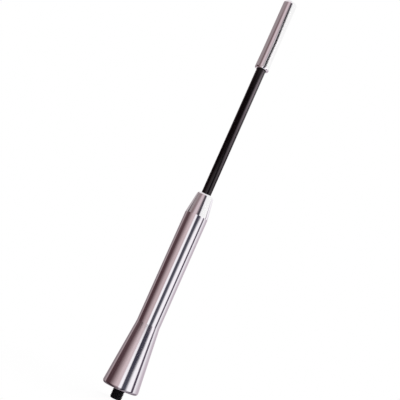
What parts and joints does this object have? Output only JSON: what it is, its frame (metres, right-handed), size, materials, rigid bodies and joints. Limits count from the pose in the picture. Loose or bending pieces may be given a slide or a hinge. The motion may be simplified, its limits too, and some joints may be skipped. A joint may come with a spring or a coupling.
{
  "type": "car antenna rod",
  "caption": "Short screw-on car radio antenna: flared aluminium grip sleeve with a threaded stud in its foot, slim black mast and a long aluminium tip cap.",
  "frame": {"origin": "centre of the grip sleeve's bottom face, on the mast's axis, where the antenna seats on the car's antenna base", "axes": "+Z along the mast, from the seat up to the tip; X and Y may turn freely, because the part is round"},
  "size_m": [0.0184, 0.0184, 0.2202],
  "materials": {
    "polished_aluminium": "polished",
    "black_stud": "satin",
    "black_sheath": "gloss",
    "brass": "satin",
    "glass_fibre": "matte",
    "copper": "gloss"
  },
  "bodies": {
    "root": {"grip_sleeve": "polished_aluminium", "adapter_stud": "black_stud", "contact_ferrule": "brass", "mast_core": "glass_fibre", "antenna_winding": "copper", "mast_sheath": "black_sheath", "tip_cap": "polished_aluminium"}
  },
  "joints": []
}
